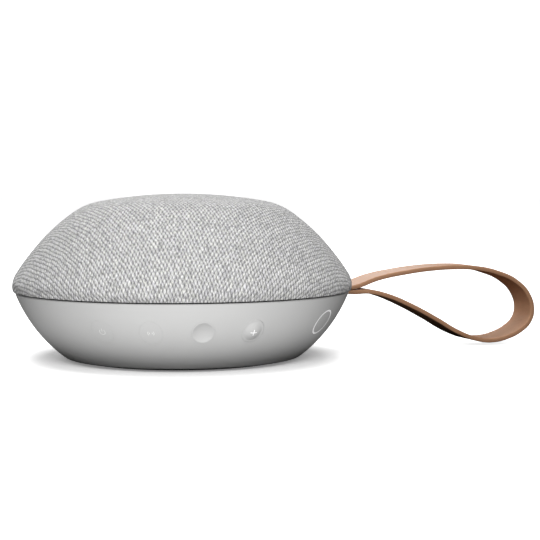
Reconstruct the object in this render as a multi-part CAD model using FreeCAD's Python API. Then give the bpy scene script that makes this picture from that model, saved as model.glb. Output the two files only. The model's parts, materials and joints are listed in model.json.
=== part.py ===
"""Portable smart speaker: a round body with a woven dome, a moulded base shell and a leather loop.

Millimetres, +Z up. The origin is the centre of the foot pad's underside, on the surface it stands on.
The controls are centred on -Y. Azimuths of the controls and of the strap are turned from -Y towards +X.
"""

import FreeCAD
import Part
import math
import os

V = FreeCAD.Vector
UP = V(0, 0, 1)
ORIGIN = V(0, 0, 0)

# ---------------------------------------------------------------- driving dimensions
HEIGHT = 85.0
# The dome's outline is a chain of tangent arcs: (radius, slope where the arc ends, in degrees from level).
CROWN, SHOULDER, FLANK, RIM = (240.0, 10.3), (34.0, 36.0), (110.0, 58.3), (11.5, 0.0)
SHELL_RADIUS = 75.0
SHELL_CENTRE = (16.1, 61.5)
SHELL_TOP = 35.0
SHELL_BOTTOM = 1.2
SHELL_CORNER = 4.0
SHELL_WALL = 2.4
SHELL_EDGE = 0.5
SEAM_GAP = 0.6

FABRIC_THICK = 1.0
FABRIC_HEM_IN = 83.3
FABRIC_BOTTOM = SHELL_TOP + SEAM_GAP + 0.1
SKIN_GAP = 0.15
FRAME_THICK = 2.0
FRAME_OFFSET = FABRIC_THICK + SKIN_GAP
FRAME_BOTTOM = FABRIC_BOTTOM + FABRIC_THICK + 0.2
# The frame's rings of slots: (inner radius, outer radius, slots in the ring, slot width).
FRAME_SLOTS = ((12, 22, 12, 2.6), (25, 38, 24, 2.6), (43, 57, 36, 2.8), (60, 68, 48, 2.6), (71, 78, 60, 2.4))
CHASSIS_TOP = 38.1
CHASSIS_RADIUS = 83.1
CHASSIS_HOLE = 46.0
CABINET_OFFSET = 8.0
CABINET_WALL = 2.2
CABINET_TOP = 71.0
FLOOR = SHELL_BOTTOM + SHELL_WALL

PAD_RADIUS = 54.0
PAD_RECESS = 1.0
LEG_CIRCLE = 48.0
LEG_ANGLES = (45.0, 135.0, 250.0, 290.0)
LEG_RADIUS = 4.0

CONTROL_HEIGHT = 20.7
CONTROL_STEP = 17.8
BUTTON_NAMES = ("power", "pairing", "volume_down", "volume_up")
BUTTON_RADIUS = 5.6
BUTTON_GAP = 0.05
BUTTON_RELIEF = 1.25
# The keys are longer than they are wide, up the shell's slope, so that from in front they look round.
BUTTON_STRETCH = 1.2
RING_AZIMUTH = 62.0
RING_HEIGHT = 21.6
RING_OUTER = 7.2
RING_STROKE = 0.8
RING_DEPTH = 0.3

STRAP_AZIMUTH = 108.0
STRAP_WIDTH = 20.0
# The ends are thinned where they pass through the seam; the loop outside keeps the leather's full thickness.
STRAP_THICK = 1.8
LOOP_THICK = 2.3
STRAP_LEVEL = SHELL_TOP - STRAP_THICK
STRAP_HINGE = 92.0
STRAP_KNUCKLE = 2.6
STRAP_TAIL_IN = 66.0
# The loop's middle line as (distance from the speaker's axis, height), over the top, round the end and back.
STRAP_LINE = (
    (92.0, 34.6), (106.8, 39.1), (122.2, 41.8), (137.7, 43.5), (152.1, 44.0), (165.4, 43.3),
    (177.9, 40.6), (190.0, 35.3), (197.9, 27.3), (200.2, 18.5), (198.0, 12.3), (193.1, 8.1),
    (186.2, 4.9), (176.0, 2.9), (166.3, 3.9), (154.6, 8.2), (140.6, 16.1), (126.4, 23.5),
    (112.3, 29.4), (101.2, 32.0), (92.0, 31.9),
)

PORT_FACE = 71.5
PORT_HEIGHT = 20.0
PORT_SIZE = (40.0, 14.0)
PORT_WALL = 1.2
JACK_BORE = 1.8
JACK_X, USB_X = -10.5, 9.0
BOARD_TOP = 16.8
BOARD_THICK = 1.6
BOARD_HALF = 29.0
BOARD_FRONT = 18.0

DRIVER_SEAT = CABINET_TOP + 0.5
DRIVER_FLANGE = 41.5
DRIVER_OPENING = 36.0
DRIVER_SCREW_CIRCLE = 38.9
COIL_INNER = 9.8
GAP_OUTER = 10.9
RADIATOR_SLOPE = 47.0
RADIATOR_OUTER = 18.0
RADIATOR_SEAT = 2.5


# ---------------------------------------------------------------- outlines and frames
def rz(r, z):
    """A point of an outline, in the plane that is turned round the axis."""
    return V(r, 0, z)


def line(a, b):
    return Part.LineSegment(a, b).toShape()


def arc(centre, radius, start, end):
    """An arc in the outline plane. Angles are in degrees from +Z towards +R."""
    at = [
        rz(centre[0] + radius * math.sin(math.radians(a)), centre[1] + radius * math.cos(math.radians(a)))
        for a in (start, (start + end) / 2, end)
    ]
    return Part.Arc(*at).toShape()


def polygon(points):
    return [line(rz(*a), rz(*b)) for a, b in zip(points, points[1:] + points[:1])]


def turned(edges, angle=360.0, start=0.0):
    """The solid that a closed outline makes round the Z axis."""
    face = Part.Face(Part.Wire(Part.__sortEdges__(edges)))
    solid = face.revolve(ORIGIN, UP, angle)
    solid.rotate(ORIGIN, UP, start)
    return solid


def ring(inner, outer, low, high):
    """A plain ring or disc round the Z axis."""
    body = Part.makeCylinder(outer, high - low, V(0, 0, low))
    if inner > 0:
        body = body.cut(Part.makeCylinder(inner, high - low + 2, V(0, 0, low - 1)))
    return body


def rod(x, y, radius, low, high):
    return Part.makeCylinder(radius, high - low, V(x, y, low))


def block(x, y, z, sx, sy, sz):
    """A box by its middle in x and y, its lowest z, and its size."""
    return Part.makeBox(sx, sy, sz, V(x - sx / 2, y - sy / 2, z))


def dome_arcs(offset):
    """The dome's arcs from crown to rim, moved in by offset: (centre, radius, first slope, last slope)."""
    found, slope = [], 0.0
    centre = (0.0, HEIGHT - CROWN[0])
    chain = (CROWN, SHOULDER, FLANK, RIM)
    for (radius, end), following in zip(chain, chain[1:] + (None,)):
        found.append((centre, radius - offset, slope, end))
        if following:
            step, a = radius - following[0], math.radians(end)
            centre = (centre[0] + step * math.sin(a), centre[1] + step * math.cos(a))
        slope = end
    return found


def dome_line(offset, low):
    """The dome's edges from the axis down to the height low, and the radius there."""
    arcs = dome_arcs(offset)
    edges = [arc(*a) for a in arcs[:-1]]
    centre, radius, first, _ = arcs[-1]
    last = math.degrees(math.acos((low - centre[1]) / radius))
    edges.append(arc(centre, radius, first, last))
    return edges, centre[0] + radius * math.sin(math.radians(last))


def dome_point(slope, offset):
    """A point of the flank and its outward direction, where the flank has that slope."""
    centre, radius, _, _ = dome_arcs(offset)[2]
    out = (math.sin(math.radians(slope)), math.cos(math.radians(slope)))
    return (centre[0] + radius * out[0], centre[1] + radius * out[1]), out


def shell_radius(z, offset=0.0):
    reach = SHELL_RADIUS - offset
    return SHELL_CENTRE[0] + math.sqrt(reach**2 - (SHELL_CENTRE[1] - z) ** 2)


def shell_slope(z, offset=0.0):
    """The angle from +Z, in degrees, of the shell's outward direction at a height."""
    return 90 + math.degrees(math.asin((SHELL_CENTRE[1] - z) / (SHELL_RADIUS - offset)))


def placed(shape, origin, outward, sideways):
    """The shape moved so that its +Z is outward, its +X sideways and its origin at origin."""
    up = outward.cross(sideways)
    m = FreeCAD.Matrix(
        sideways.x, up.x, outward.x, origin.x,
        sideways.y, up.y, outward.y, origin.y,
        sideways.z, up.z, outward.z, origin.z,
        0, 0, 0, 1,
    )
    moved = shape.copy()
    moved.Placement = FreeCAD.Placement(m).multiply(moved.Placement)
    return moved


def heading(azimuth):
    """The level direction at an azimuth turned from -Y towards +X, and the one square to it."""
    a = math.radians(azimuth)
    return V(math.sin(a), -math.cos(a), 0), V(math.cos(a), math.sin(a), 0)


def on_shell(shape, azimuth, z):
    """The shape on the shell's outer surface, its +Z pointing out of the shell."""
    level, sideways = heading(azimuth)
    slope = math.radians(shell_slope(z))
    outward = level * math.sin(slope) + UP * math.cos(slope)
    return placed(shape, level * shell_radius(z) + UP * z, outward, sideways)


def on_dome(shape, azimuth):
    """The shape on the cabinet's outer surface at the radiators' slope, its +Z pointing out."""
    (r, z), (out, up) = dome_point(RADIATOR_SLOPE, CABINET_OFFSET)
    level, sideways = heading(azimuth)
    return placed(shape, level * r + UP * z, level * out + UP * up, sideways)


def in_strap(shape):
    """The shape from the strap's own frame: +X away from the speaker, +Y across the strap."""
    level, sideways = heading(STRAP_AZIMUTH)
    return placed(shape, ORIGIN, UP, level)


def screw(head_radius, head_high, shank_radius, shank_long):
    """A screw whose shank runs along +Z from z = 0, with its head below, and a cross recess in the head."""
    body = Part.makeCylinder(head_radius, head_high, V(0, 0, -head_high))
    body = body.fuse(Part.makeCylinder(shank_radius, shank_long))
    slot = Part.makeBox(head_radius * 1.1, 0.5, head_high * 0.5, V(-head_radius * 0.55, -0.25, -head_high))
    cross = slot.copy()
    cross.rotate(ORIGIN, UP, 90)
    return body.cut(slot).cut(cross)


def flipped(shape):
    """The shape turned upside down."""
    turned_over = shape.copy()
    turned_over.rotate(ORIGIN, V(1, 0, 0), 180)
    return turned_over


def at(shape, x, y, z):
    moved = shape.copy()
    moved.translate(V(x, y, z))
    return moved


def round_places(circle, count, start):
    """Places (x, y) spaced evenly on a circle."""
    turns = [math.radians(start + 360.0 * i / count) for i in range(count)]
    return [(circle * math.cos(t), circle * math.sin(t)) for t in turns]


def bent_wire(points, radius, bend):
    """A round wire along straight runs joined by tangent arcs."""
    edges, last = [], points[0]
    for before, corner, after in zip(points, points[1:], points[2:]):
        into, away = (corner - before).normalize(), (after - corner).normalize()
        turn = into.getAngle(away)
        cut = bend * math.tan(turn / 2)
        start, end = corner - into * cut, corner + away * cut
        middle = (into * -1 + away).normalize()
        middle = corner + middle * (bend / math.cos(turn / 2) - bend)
        edges += [line(last, start), Part.Arc(start, middle, end).toShape()]
        last = end
    edges.append(line(last, points[-1]))
    first = (points[1] - points[0]).normalize()
    profile = Part.Wire(Part.Circle(points[0], first, radius).toShape())
    return Part.Wire(edges).makePipeShell([profile], True, True)


LEGS = [round_places(LEG_CIRCLE, 1, angle)[0] for angle in LEG_ANGLES]
CABINET_SCREWS = round_places(71.5, 6, 30.0)
DRIVER_SCREWS = round_places(DRIVER_SCREW_CIRCLE, 4, 45.0)
BOARD_SCREWS = [(x, y) for x in (-25.0, 25.0) for y in (23.0, 55.0)]
CELLS = [(-22.0, 14.2), (-2.8, 14.2)]
CELL_RADIUS = 9.15
CLAMP_SCREWS = [(73.0, -5.0), (73.0, 5.0)]
BUTTON_AZIMUTHS = [CONTROL_STEP * (i - 1.5) for i in range(4)]


# ---------------------------------------------------------------- base shell and foot
def shell_outline(offset):
    """The shell's outer outline as a filled shape, moved in by offset, from the top edge to the floor."""
    (cx, cz), reach = SHELL_CENTRE, SHELL_RADIUS - offset
    corner, low = SHELL_CORNER - min(offset, 3.0), SHELL_BOTTOM + offset
    mid_z = low + corner
    mid_r = cx + math.sqrt((reach - corner) ** 2 - (cz - mid_z) ** 2)
    meet = 90 + math.degrees(math.asin((cz - mid_z) / (reach - corner)))
    edge = SHELL_EDGE if offset == 0 else 0.0
    top = shell_slope(SHELL_TOP - edge, offset)
    edges = [arc(SHELL_CENTRE, reach, top, meet), arc((mid_r, mid_z), corner, meet, 180.0)]
    start = rz(shell_radius(SHELL_TOP - edge, offset), SHELL_TOP - edge)
    lip = rz(start.x - edge, SHELL_TOP)
    if edge:
        edges.append(line(lip, start))
    inside = [rz(mid_r, low), rz(0, low), rz(0, SHELL_TOP), lip]
    edges += [line(a, b) for a, b in zip(inside, inside[1:])]
    return turned(edges)


def port_block(grow, front, back):
    wide, high = PORT_SIZE[0] + 2 * grow, PORT_SIZE[1] + 2 * grow
    body = Part.makeBox(wide, back - front, high, V(-wide / 2, front, PORT_HEIGHT - high / 2))
    upright = [e for e in body.Edges if abs(e.tangentAt(e.FirstParameter).y) > 0.9]
    return body.makeFillet(2.2 + grow, upright)


def ring_cutter(inner, outer, depth):
    return Part.makeCylinder(outer, depth + 3, V(0, 0, -depth)).cut(
        Part.makeCylinder(inner, depth + 5, V(0, 0, -depth - 1))
    )


def base_shell(envelope):
    body = envelope.cut(shell_outline(SHELL_WALL))
    body = body.cut(ring(0, PAD_RADIUS + 0.2, SHELL_BOTTOM - 1, SHELL_BOTTOM + PAD_RECESS))
    for x, y in LEGS:
        body = body.fuse(rod(x, y, LEG_RADIUS + 0.6, FLOOR - 0.2, 6.0))
        body = body.cut(rod(x, y, 1.7, 0, 7)).cut(rod(x, y, 3.1, 0, 4.4))
    for x, y in BOARD_SCREWS:
        body = body.fuse(rod(x, y, 2.8, FLOOR - 0.2, BOARD_TOP - BOARD_THICK))
        body = body.cut(rod(x, y, 1.05, 7.0, BOARD_TOP))
    for azimuth in BUTTON_AZIMUTHS:
        hole = oval_rod(BUTTON_RADIUS + BUTTON_GAP, -5.0, 4.0)
        body = body.cut(on_shell(hole, azimuth, CONTROL_HEIGHT))
    body = body.cut(port_block(0.1, 60, 95))
    notch = block(85, 0, STRAP_LEVEL - STRAP_THICK - 0.1, 14, STRAP_WIDTH + 0.6, 8)
    body = body.cut(in_strap(notch))
    groove = ring_cutter(RING_OUTER - RING_STROKE - 0.03, RING_OUTER + 0.03, RING_DEPTH + 0.4)
    groove = on_shell(groove, RING_AZIMUTH, RING_HEIGHT).cut(shell_outline(RING_DEPTH + 0.03))
    return body.cut(groove)


def touch_ring(envelope):
    """The bright ring let into the shell, over the short-range pairing antenna."""
    body = ring_cutter(RING_OUTER - RING_STROKE, RING_OUTER, RING_DEPTH + 0.4)
    body = on_shell(body, RING_AZIMUTH, RING_HEIGHT)
    return body.common(envelope).cut(shell_outline(RING_DEPTH))


def shell_layer(depth, thick):
    """A skin inside the shell, from that depth below its outer surface."""
    return shell_outline(depth).cut(shell_outline(depth + thick))


def touch_antenna():
    """The coil behind the ring: three turns on a thin film stuck to the shell's inside."""
    disc = on_shell(Part.makeCylinder(9.0, 8.0, V(0, 0, -6.0)), RING_AZIMUTH, RING_HEIGHT)
    film = disc.common(shell_layer(SHELL_WALL, 0.2))
    turns = [on_shell(ring(r, r + 0.6, -6.0, 2.0), RING_AZIMUTH, RING_HEIGHT) for r in (5.4, 6.5, 7.6)]
    return film.fuse(Part.makeCompound(turns).common(shell_layer(SHELL_WALL + 0.1, 0.25)))


def foot_pad():
    """The rubber pad under the base, with two shallow grooves that help it grip."""
    body = ring(0, PAD_RADIUS, 0.0, SHELL_BOTTOM + PAD_RECESS)
    for inner in (34.0, 46.0):
        body = body.cut(ring(inner, inner + 2.0, -1.0, 0.5))
    rim = [e for e in body.Edges if len(e.Vertexes) == 1 and abs(e.Length - 2 * math.pi * PAD_RADIUS) < 0.1
           and e.Vertexes[0].Z < 0.1]
    return body.makeFillet(0.5, rim)


def bottom_screws():
    one = screw(2.8, 2.0, 1.45, 13.0)
    return Part.makeCompound([at(one, x, y, 4.4) for x, y in LEGS])


# ---------------------------------------------------------------- chassis, cabinet, grille
def seam_gasket():
    return ring(81.6, 85.2, SHELL_TOP, SHELL_TOP + SEAM_GAP)


def chassis():
    """The deck that carries the cabinet, on four legs that the bottom screws pull down onto the shell."""
    low = SHELL_TOP + SEAM_GAP
    body = ring(CHASSIS_HOLE, CHASSIS_RADIUS, low, CHASSIS_TOP)
    for x, y in LEGS:
        body = body.fuse(rod(x, y, LEG_RADIUS, 6.0, low + 0.5))
        body = body.cut(rod(x, y, 1.5, 5.0, 18.0))
    for x, y in CABINET_SCREWS:
        body = body.fuse(rod(x, y, 3.0, low - 3.5, low + 0.5)).cut(rod(x, y, 1.25, low - 3.0, 50))
    seat = Part.makeBox(13.0, 22.0, SEAM_GAP + 0.4, V(67.0, -11.0, SHELL_TOP))
    body = body.fuse(in_strap(seat))
    for x, y in CLAMP_SCREWS:
        body = body.cut(in_strap(rod(x, y, 1.25, SHELL_TOP - 1, 37.4)))
    return body.removeSplitter()


def cabinet_envelope(offset, low):
    """The filled shape inside the cabinet's flat-topped dome."""
    edges, r = dome_line(offset, low)
    edges += [line(rz(r, low), rz(0, low)), line(rz(0, low), rz(0, HEIGHT - offset))]
    top = CABINET_TOP - (offset - CABINET_OFFSET)
    return turned(edges).cut(ring(0, 100, top, top + 20))


def cabinet_dome():
    outer = cabinet_envelope(CABINET_OFFSET, CHASSIS_TOP)
    inner = cabinet_envelope(CABINET_OFFSET + CABINET_WALL, CHASSIS_TOP)
    body = outer.cut(inner).fuse(ring(67.0, 78.5, CHASSIS_TOP, CHASSIS_TOP + 2.2))
    body = body.fuse(ring(DRIVER_OPENING, DRIVER_FLANGE, CABINET_TOP - 5.0, CABINET_TOP - 1.0))
    for azimuth in (-90.0, 90.0):
        boss = on_dome(Part.makeCylinder(20.5, 6.0, V(0, 0, -6.0)), azimuth).common(outer)
        body = body.fuse(boss)
        body = body.cut(on_dome(Part.makeCylinder(RADIATOR_OUTER + 0.3, 9, V(0, 0, -RADIATOR_SEAT)), azimuth))
        body = body.cut(on_dome(Part.makeCylinder(14.2, 12, V(0, 0, -9)), azimuth))
    body = body.cut(ring(0, DRIVER_OPENING, 60, 80))
    for x, y in CABINET_SCREWS:
        body = body.cut(rod(x, y, 1.5, 30, 50))
    for x, y in round_places(DRIVER_SCREW_CIRCLE, 4, 45.0):
        body = body.cut(rod(x, y, 1.15, CABINET_TOP - 4.5, CABINET_TOP + 1))
    return body.removeSplitter()


def cabinet_screws():
    one = flipped(screw(2.6, 1.6, 1.2, 7.4))
    return Part.makeCompound([at(one, x, y, CHASSIS_TOP + 2.2) for x, y in CABINET_SCREWS])


def grille_frame():
    """The stiff dome under the cloth, open in five rings of slots."""
    outer, r_out = dome_line(FRAME_OFFSET, FRAME_BOTTOM)
    inner, r_in = dome_line(FRAME_OFFSET + FRAME_THICK, FRAME_BOTTOM)
    tops = [HEIGHT - FRAME_OFFSET, HEIGHT - FRAME_OFFSET - FRAME_THICK]
    edges = outer + inner
    edges.append(line(rz(0, tops[0]), rz(0, tops[1])))
    edges.append(line(rz(r_out, FRAME_BOTTOM), rz(r_in, FRAME_BOTTOM)))
    body = turned(edges).fuse(ring(80.6, 84.6, CHASSIS_TOP, CHASSIS_TOP + 1.5))
    cutters = []
    for inner_r, outer_r, count, wide in FRAME_SLOTS:
        for i in range(count):
            slot = Part.makeBox(outer_r - inner_r, wide, 60, V(inner_r, -wide / 2, 42))
            slot.rotate(ORIGIN, UP, 360.0 * (i + 0.5) / count)
            cutters.append(slot)
    return body.cut(Part.makeCompound(cutters))


def grille_fabric():
    """The woven cover: one skin over the frame, turned in under its edge."""
    hem_top = FABRIC_BOTTOM + FABRIC_THICK
    outer, r_out = dome_line(0.0, FABRIC_BOTTOM)
    inner, r_in = dome_line(FABRIC_THICK, hem_top)
    edges = outer + inner + [
        line(rz(r_out, FABRIC_BOTTOM), rz(FABRIC_HEM_IN, FABRIC_BOTTOM)),
        line(rz(FABRIC_HEM_IN, FABRIC_BOTTOM), rz(FABRIC_HEM_IN, hem_top)),
        line(rz(FABRIC_HEM_IN, hem_top), rz(r_in, hem_top)),
        line(rz(0, HEIGHT), rz(0, HEIGHT - FABRIC_THICK)),
    ]
    return turned(edges)


# ---------------------------------------------------------------- main driver
def driver_gasket():
    return ring(DRIVER_OPENING + 0.4, DRIVER_FLANGE - 0.2, CABINET_TOP, DRIVER_SEAT).cut(
        Part.makeCompound([rod(x, y, 1.5, 70, 75) for x, y in DRIVER_SCREWS])
    )


def driver_basket():
    z = DRIVER_SEAT
    cone = turned(polygon([(34.6, z), (24.4, z - 18.0), (GAP_OUTER, z - 18.0), (GAP_OUTER, z - 19.2),
                           (26.0, z - 19.2), (35.9, z - 2.0), (35.9, z)]))
    ledge = ring(22.0, 26.6, z - 15.5, z - 14.3)
    windows = []
    for i in range(6):
        window = Part.makeBox(30, 13.0, 9.5, V(18, -6.5, z - 12.5))
        window.rotate(ORIGIN, UP, 60.0 * i)
        windows.append(window)
    flange = ring(34.6, DRIVER_FLANGE, z, z + 1.5)
    body = cone.cut(Part.makeCompound(windows)).fuse(ledge).fuse(flange)
    for x, y in DRIVER_SCREWS:
        body = body.cut(rod(x, y, 1.4, z - 1, z + 3))
    return body.removeSplitter()


def driver_screws():
    one = flipped(screw(2.2, 1.5, 1.1, 5.8))
    return Part.makeCompound([at(one, x, y, DRIVER_SEAT + 1.5) for x, y in DRIVER_SCREWS])


def driver_top_plate():
    return ring(GAP_OUTER, 22.0, DRIVER_SEAT - 22.2, DRIVER_SEAT - 19.2)


def driver_magnet():
    return ring(13.0, 24.0, DRIVER_SEAT - 30.2, DRIVER_SEAT - 22.2)


def driver_yoke():
    low = DRIVER_SEAT - 33.0
    body = ring(0, 24.0, low, low + 2.8).fuse(ring(0, 9.3, low + 2.7, DRIVER_SEAT - 19.0))
    return body.cut(ring(0, 2.5, low - 1, 60))


def driver_voice_coil():
    low = DRIVER_SEAT - 26.5
    former = ring(COIL_INNER, COIL_INNER + 0.3, low, low + 15.0)
    return former.fuse(ring(COIL_INNER + 0.2, COIL_INNER + 0.8, low + 2.0, low + 7.5))


def driver_cone():
    z = DRIVER_SEAT
    neck = COIL_INNER + 0.35
    return turned(polygon([(neck, z - 12.6), (neck + 0.65, z - 12.6), (27.6, z + 0.9), (29.0, z + 0.9),
                           (29.0, z + 1.5), (27.1, z + 1.5), (neck, z - 11.8)]))


def driver_dust_cap():
    """A shallow cap glued over the voice coil."""
    base = DRIVER_SEAT - 10.8
    ball = Part.makeSphere(17.0, V(0, 0, base - 12.6)).cut(Part.makeSphere(16.4, V(0, 0, base - 12.6)))
    return ball.common(ring(0, 11.35, base, base + 10))


def half_roll(inner, outer, z, thick):
    """A rubber half-roll between two circles, with a flat lip at each."""
    mid, reach = (inner + outer) / 2, (outer - inner) / 2 - 1.2
    edges = [arc((mid, z), reach, -90, 90), arc((mid, z), reach - thick, -90, 90),
             line(rz(mid - reach, z), rz(inner, z)), line(rz(inner, z), rz(inner, z - thick)),
             line(rz(inner, z - thick), rz(mid - reach + thick, z - thick)),
             line(rz(mid - reach + thick, z - thick), rz(mid - reach + thick, z)),
             line(rz(mid + reach, z), rz(outer, z)), line(rz(outer, z), rz(outer, z - thick)),
             line(rz(outer, z - thick), rz(mid + reach - thick, z - thick)),
             line(rz(mid + reach - thick, z - thick), rz(mid + reach - thick, z))]
    return turned(edges)


def driver_surround():
    return half_roll(27.9, 36.5, DRIVER_SEAT + 2.1, 0.6)


def driver_spider():
    """The centring disc, pressed into five ripples."""
    z, inner, pitch, rise = DRIVER_SEAT - 14.3, COIL_INNER + 0.4, 3.0, 0.9
    upper = [(inner + pitch * i / 2, z + 0.4 + (rise if i % 2 else 0)) for i in range(11)]
    lower = [(r, h - 0.4) for r, h in reversed(upper)]
    return turned(polygon(upper + lower))


# ---------------------------------------------------------------- passive radiators
def radiator_frame(azimuth):
    return on_dome(ring(13.2, RADIATOR_OUTER, -RADIATOR_SEAT, -0.85), azimuth)


def radiator_cone(azimuth):
    """The stiff plate of a passive radiator with its tuning weight."""
    plate = ring(0, 8.9, -2.3, -0.85)
    return on_dome(plate.fuse(ring(0, 5.5, -6.5, -2.2)), azimuth)


def radiator_surround(azimuth):
    return on_dome(half_roll(7.2, 15.2, -0.35, 0.5), azimuth)


# ---------------------------------------------------------------- controls
def oval_rod(radius, low, high):
    """A rod along +Z, drawn out along Y as the keys are."""
    outline = Part.Ellipse(V(0, 0, low), radius * BUTTON_STRETCH, radius).toShape()
    body = Part.Face(Part.Wire(outline)).extrude(V(0, 0, high - low))
    body.rotate(ORIGIN, UP, 90)
    return body


def oval_ball(radius, z):
    """A ball with its middle at the height z, drawn out along Y as the keys are."""
    stretch = FreeCAD.Matrix()
    stretch.scale(1, BUTTON_STRETCH, 1)
    return Part.makeSphere(radius, V(0, 0, z)).transformGeometry(stretch)


def button_cap(name, azimuth, envelope):
    """A key that follows the shell's surface. The volume keys can be felt: one hollow, one raised."""
    head = on_shell(oval_rod(BUTTON_RADIUS, -3.1, 5.9), azimuth, CONTROL_HEIGHT).common(envelope)
    touch = BUTTON_RADIUS - 0.3
    ball = (touch**2 + BUTTON_RELIEF**2) / (2 * BUTTON_RELIEF)
    if name == "volume_down":
        hollow = oval_ball(ball, ball - BUTTON_RELIEF)
        head = head.cut(on_shell(hollow, azimuth, CONTROL_HEIGHT))
    if name == "volume_up":
        crown = oval_ball(ball, BUTTON_RELIEF - ball).common(oval_rod(touch, -1.0, 3.0))
        head = head.fuse(on_shell(crown, azimuth, CONTROL_HEIGHT))
    flange = ring(0, 7.2, -3.9, -3.05).fuse(ring(0, 1.6, -5.2, -3.8))
    return head.fuse(on_shell(flange, azimuth, CONTROL_HEIGHT)).removeSplitter()


def switch_plunger(azimuth):
    return on_shell(ring(0, 1.7, -6.6, -5.2), azimuth, CONTROL_HEIGHT)


def switch_bodies():
    one = Part.makeBox(6.0, 6.0, 3.55, V(-3.0, -3.0, -9.45)).cut(ring(0, 1.78, -7.4, -5))
    return Part.makeCompound([on_shell(one, azimuth, CONTROL_HEIGHT) for azimuth in BUTTON_AZIMUTHS])


def front_band(outer_offset, thick, spread, half_turn):
    """A curved strip behind the keys, at that depth inside the shell's surface."""
    middle, outer = shell_slope(CONTROL_HEIGHT), SHELL_RADIUS - outer_offset
    first, last = middle - spread, middle + spread
    (cx, cz), inner = SHELL_CENTRE, outer - thick

    def corner(radius, angle):
        a = math.radians(angle)
        return rz(cx + radius * math.sin(a), cz + radius * math.cos(a))

    edges = [arc(SHELL_CENTRE, outer, first, last), arc(SHELL_CENTRE, inner, first, last),
             line(corner(outer, first), corner(inner, first)), line(corner(outer, last), corner(inner, last))]
    return turned(edges, 2 * half_turn, -90.0 - half_turn)


def switch_carrier():
    body = front_band(9.7, 2.0, 4.8, 36.0)
    for azimuth in (-33.0, 33.0):
        level, _ = heading(azimuth)
        leg = rod(level.x * 63.9, level.y * 63.9, 3.0, SHELL_BOTTOM, 24.0)
        body = body.fuse(leg.common(shell_outline(SHELL_WALL + 0.05)))
    return body.removeSplitter()


def switch_flex():
    return front_band(9.45, 0.25, 4.5, 35.0)


# ---------------------------------------------------------------- electronics
def battery_cells():
    cell = Part.makeCylinder(CELL_RADIUS, 65.0, V(-32.5, 0, 0), V(1, 0, 0))
    cell = cell.fuse(Part.makeCylinder(3.0, 1.2, V(32.5, 0, 0), V(1, 0, 0)))
    return Part.makeCompound([at(cell, 0, y, z) for y, z in CELLS])


def battery_tray():
    middle = (CELLS[0][0] + CELLS[1][0]) / 2
    body = block(0, middle, FLOOR, 71.0, 42.0, 10.0).cut(block(0, middle, FLOOR - 1, 50.0, 30.0, 30.0))
    for y, z in CELLS:
        body = body.cut(Part.makeCylinder(CELL_RADIUS + 0.1, 68.0, V(-33.6, y, z), V(1, 0, 0)))
    return body


def main_board():
    back = 72.0
    middle = (BOARD_FRONT + back) / 2
    body = block(0, middle, BOARD_TOP - BOARD_THICK, 2 * BOARD_HALF, back - BOARD_FRONT, BOARD_THICK)
    body = body.common(ring(0, 70.2, 0, 40)).cut(block(0, 80, 0, 100, 24.4, 40))
    for x, y in BOARD_SCREWS:
        body = body.cut(rod(x, y, 1.3, 0, 30))
    return body


def board_screws():
    one = flipped(screw(2.1, 1.3, 1.0, 7.5))
    return Part.makeCompound([at(one, x, y, BOARD_TOP) for x, y in BOARD_SCREWS])


def board_components():
    """Amplifier, processor, charger, coils and capacitors, each its own solid."""
    chips = [
        (-16, 30, 7, 7, 1.0), (4, 34, 9, 9, 1.2), (20, 30, 6, 5, 1.0), (20, 44, 7.5, 7.5, 3.2),
        (12, 24, 5, 5, 2.6), (-24, 42, 6, 9, 4.5), (-24, 31, 6, 4, 3.0), (26, 36, 2.5, 4, 0.8),
    ]
    pieces = [block(x, y, BOARD_TOP, sx, sy, sz) for x, y, sx, sy, sz in chips]
    pieces += [rod(x, y, 3.2, BOARD_TOP, BOARD_TOP + 7.5) for x, y in ((-14, 44), (-6, 46), (10, 46))]
    return Part.makeCompound(pieces)


def radio_shield():
    lid = block(-6, 24, BOARD_TOP, 13.0, 9.0, 2.2)
    return lid.cut(block(-6, 24, BOARD_TOP - 1, 12.4, 8.4, 2.9))


def usb_socket():
    """A reversible charging socket: a flat round-ended metal tube with a tongue inside."""
    def tube(wide, high, front, back):
        body = Part.makeBox(wide, back - front, high, V(USB_X - wide / 2, front, BOARD_TOP + 1.75 - high / 2))
        along = [e for e in body.Edges if abs(e.tangentAt(e.FirstParameter).y) > 0.9]
        return body.makeFillet(high / 2 - 0.02, along)
    shell = tube(8.94, 3.2, 61.5, 68.7).cut(tube(8.3, 2.56, 63.0, 70.0))
    tongue = Part.makeBox(6.6, 4.4, 0.7, V(USB_X - 3.3, 62.5, BOARD_TOP + 1.75 - 0.35))
    return shell.fuse(tongue)


def audio_jack():
    body = Part.makeBox(6.4, 13.6, 6.0, V(JACK_X - 3.2, 55.0, BOARD_TOP))
    body = body.fuse(Part.makeCylinder(2.6, 1.6, V(JACK_X, 68.5, BOARD_TOP + 3.1), V(0, 1, 0)))
    return body.cut(Part.makeCylinder(JACK_BORE, 13.0, V(JACK_X, 58.0, BOARD_TOP + 3.1), V(0, 1, 0)))


def port_panel(envelope):
    """The lined recess in the back that holds the charging socket and the audio input."""
    body = port_block(0.0, PORT_FACE - 2.6, 95).common(envelope)
    body = body.cut(port_block(-PORT_WALL, PORT_FACE, 96))
    body = body.cut(Part.makeCylinder(2.75, 6, V(JACK_X, 67, BOARD_TOP + 3.1), V(0, 1, 0)))
    mouth = Part.makeBox(9.4, 8, 3.7, V(USB_X - 4.7, 66, BOARD_TOP + 1.75 - 1.85))
    along = [e for e in mouth.Edges if abs(e.tangentAt(e.FirstParameter).y) > 0.9]
    return body.cut(mouth.makeFillet(1.8, along))


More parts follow.
